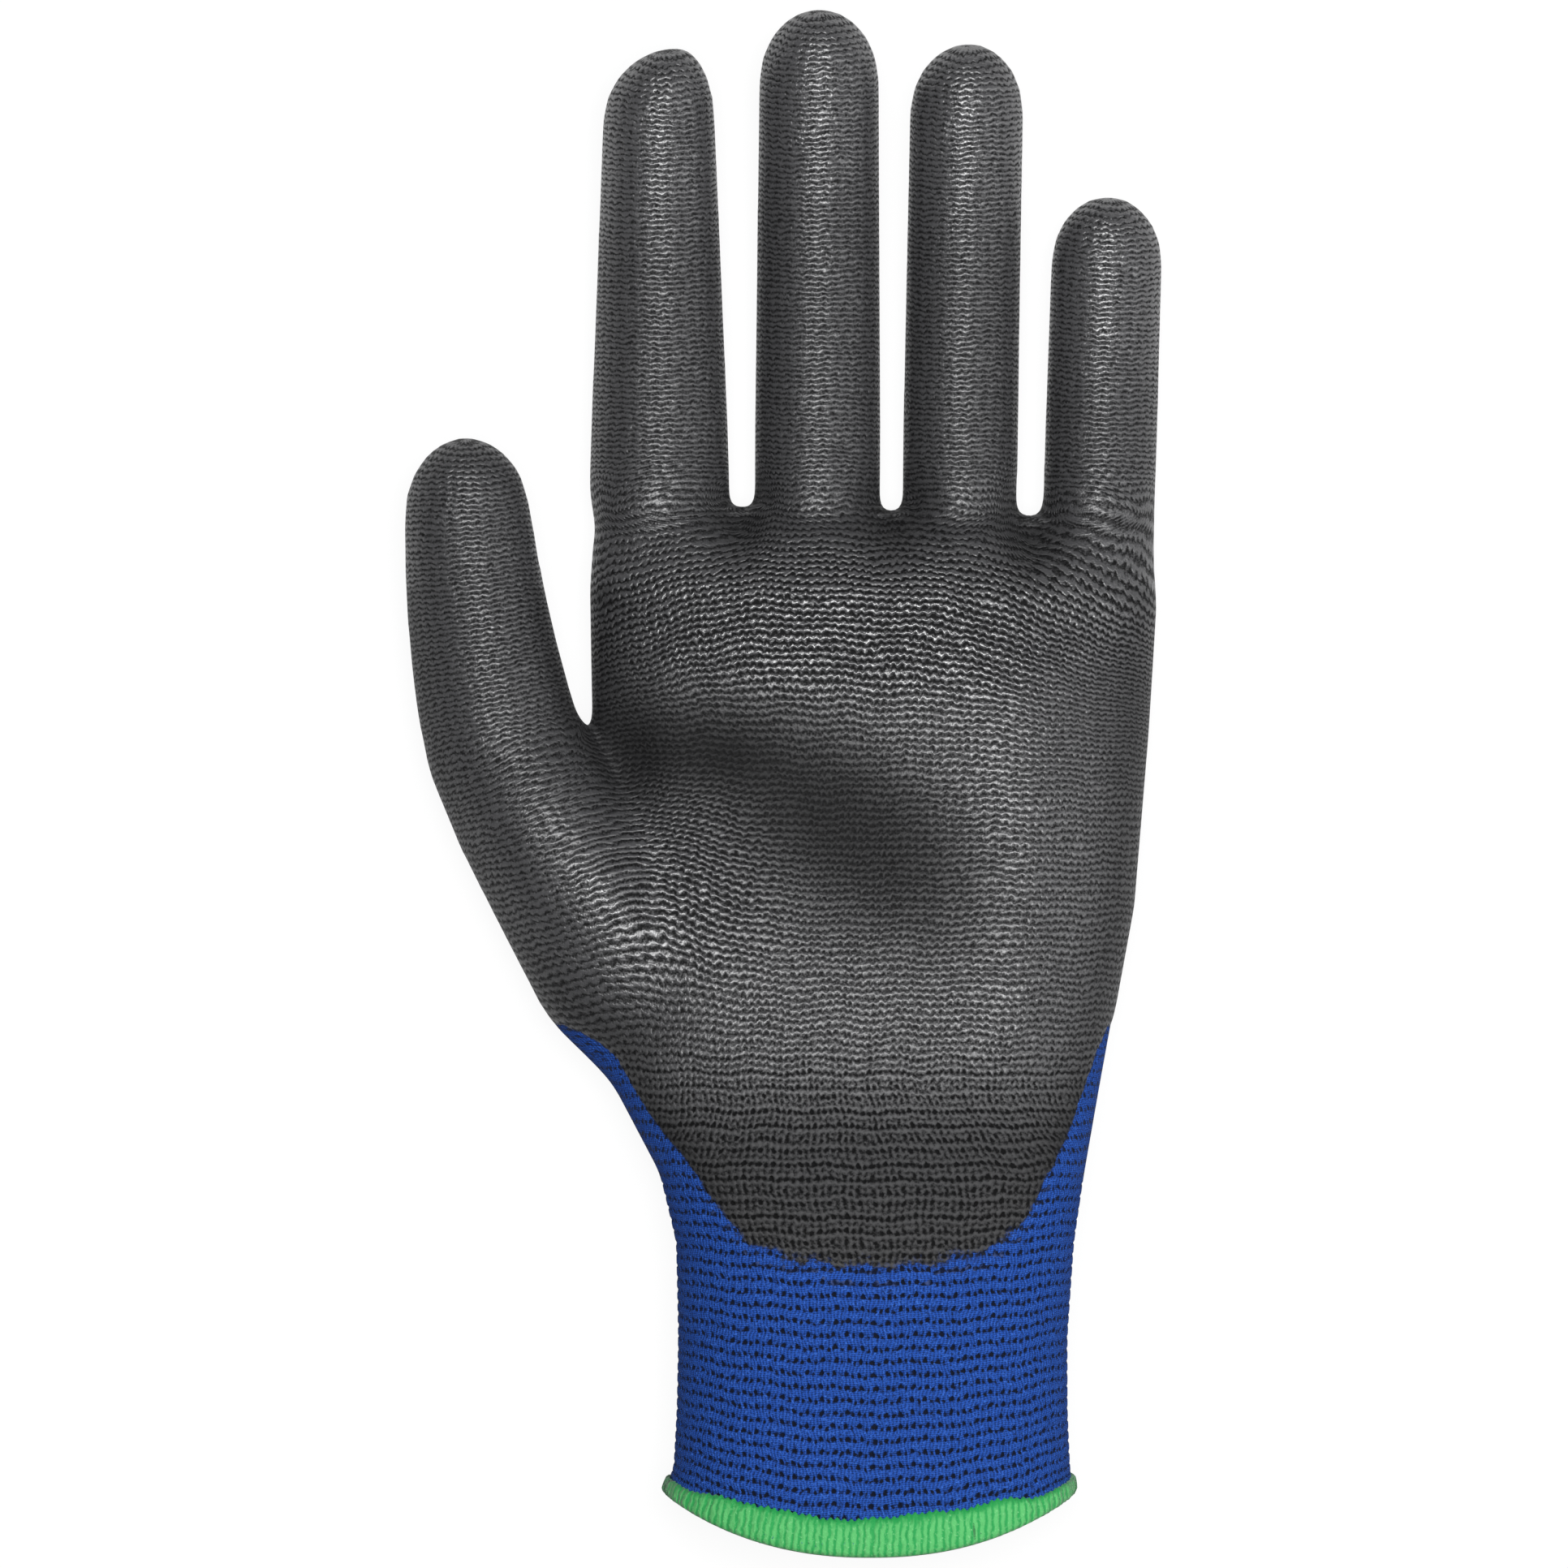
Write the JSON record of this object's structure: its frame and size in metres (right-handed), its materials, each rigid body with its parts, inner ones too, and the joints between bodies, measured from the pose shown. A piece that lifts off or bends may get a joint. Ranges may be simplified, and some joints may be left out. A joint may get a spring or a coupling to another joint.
{
  "type": "cut resistant glove",
  "caption": "Left-hand knitted work glove with a film over the palm and digits, an elastic wrist cuff and an overlocked hem; each finger folds at three lines, the thumb at two.",
  "frame": {"origin": "on the resting surface, under the middle of the glove as it lies on its back", "axes": "+X towards the little finger, +Y towards the fingertips, +Z out of the palm"},
  "size_m": [0.1169, 0.2398, 0.0374],
  "materials": {
    "knit_liner": "plain knit in blue yarn",
    "pu_coating": "satin film that follows the knit",
    "overlock_thread": "overlocked green thread",
    "elastic_yarn": "covered elastic yarn"
  },
  "bodies": {
    "root": {"hand_liner": "knit_liner", "palm_coating": "pu_coating", "wrist_cuff": "knit_liner", "cuff_hem": "overlock_thread", "elastic_yarns": "elastic_yarn"},
    "index_root": {"index_root_liner": "knit_liner", "index_root_coating": "pu_coating"},
    "index_middle": {"index_middle_liner": "knit_liner", "index_middle_coating": "pu_coating"},
    "index_tip": {"index_tip_liner": "knit_liner", "index_tip_coating": "pu_coating"},
    "middle_root": {"middle_root_liner": "knit_liner", "middle_root_coating": "pu_coating"},
    "middle_middle": {"middle_middle_liner": "knit_liner", "middle_middle_coating": "pu_coating"},
    "middle_tip": {"middle_tip_liner": "knit_liner", "middle_tip_coating": "pu_coating"},
    "ring_root": {"ring_root_liner": "knit_liner", "ring_root_coating": "pu_coating"},
    "ring_middle": {"ring_middle_liner": "knit_liner", "ring_middle_coating": "pu_coating"},
    "ring_tip": {"ring_tip_liner": "knit_liner", "ring_tip_coating": "pu_coating"},
    "little_root": {"little_root_liner": "knit_liner", "little_root_coating": "pu_coating"},
    "little_middle": {"little_middle_liner": "knit_liner", "little_middle_coating": "pu_coating"},
    "little_tip": {"little_tip_liner": "knit_liner", "little_tip_coating": "pu_coating"},
    "thumb_root": {"thumb_root_liner": "knit_liner", "thumb_root_coating": "pu_coating"},
    "thumb_tip": {"thumb_tip_liner": "knit_liner", "thumb_tip_coating": "pu_coating"}
  },
  "joints": [
    {"name": "index_root_fold", "type": "hinge", "parent": "root", "child": "index_root", "pos_m": [-0.0194, 0.0452, 0.0195], "axis": [1, 0, 0], "range_deg": [0, 85]},
    {"name": "index_middle_fold", "type": "hinge", "parent": "index_root", "child": "index_middle", "pos_m": [-0.0194, 0.06938, 0.01983], "axis": [1, 0, 0], "range_deg": [0, 90]},
    {"name": "index_tip_fold", "type": "hinge", "parent": "index_middle", "child": "index_tip", "pos_m": [-0.0194, 0.09177, 0.02219], "axis": [1, 0, 0], "range_deg": [0, 55]},
    {"name": "middle_root_fold", "type": "hinge", "parent": "root", "child": "middle_root", "pos_m": [0.00522, 0.0452, 0.0194], "axis": [1, -0.0035, 0], "range_deg": [0, 85]},
    {"name": "middle_middle_fold", "type": "hinge", "parent": "middle_root", "child": "middle_middle", "pos_m": [0.00531, 0.07136, 0.01999], "axis": [1, -0.0035, 0], "range_deg": [0, 90]},
    {"name": "middle_tip_fold", "type": "hinge", "parent": "middle_middle", "child": "middle_tip", "pos_m": [0.00539, 0.09572, 0.0228], "axis": [1, -0.0035, 0], "range_deg": [0, 55]},
    {"name": "ring_root_fold", "type": "hinge", "parent": "root", "child": "ring_root", "pos_m": [0.02738, 0.045, 0.019], "axis": [0.9999, -0.0157, 0], "range_deg": [0, 85]},
    {"name": "ring_middle_fold", "type": "hinge", "parent": "ring_root", "child": "ring_middle", "pos_m": [0.02776, 0.06951, 0.01951], "axis": [0.9999, -0.0157, 0], "range_deg": [0, 90]},
    {"name": "ring_tip_fold", "type": "hinge", "parent": "ring_middle", "child": "ring_tip", "pos_m": [0.02813, 0.09261, 0.02209], "axis": [0.9999, -0.0157, 0], "range_deg": [0, 55]},
    {"name": "little_root_fold", "type": "hinge", "parent": "root", "child": "little_root", "pos_m": [0.0491, 0.0432, 0.0186], "axis": [0.9996, -0.0279, 0], "range_deg": [0, 85]},
    {"name": "little_middle_fold", "type": "hinge", "parent": "little_root", "child": "little_middle", "pos_m": [0.04958, 0.06009, 0.0186], "axis": [0.9996, -0.0279, 0], "range_deg": [0, 90]},
    {"name": "little_tip_fold", "type": "hinge", "parent": "little_middle", "child": "little_tip", "pos_m": [0.04999, 0.07514, 0.01968], "axis": [0.9996, -0.0279, 0], "range_deg": [0, 50]},
    {"name": "thumb_root_fold", "type": "hinge", "parent": "root", "child": "thumb_root", "pos_m": [-0.04358, 0.0063, 0.0266], "axis": [0.9703, 0.2419, 0], "range_deg": [0, 55]},
    {"name": "thumb_tip_fold", "type": "hinge", "parent": "thumb_root", "child": "thumb_tip", "pos_m": [-0.0478, 0.02899, 0.02516], "axis": [0.9929, 0.1186, 0], "range_deg": [0, 70]}
  ]
}
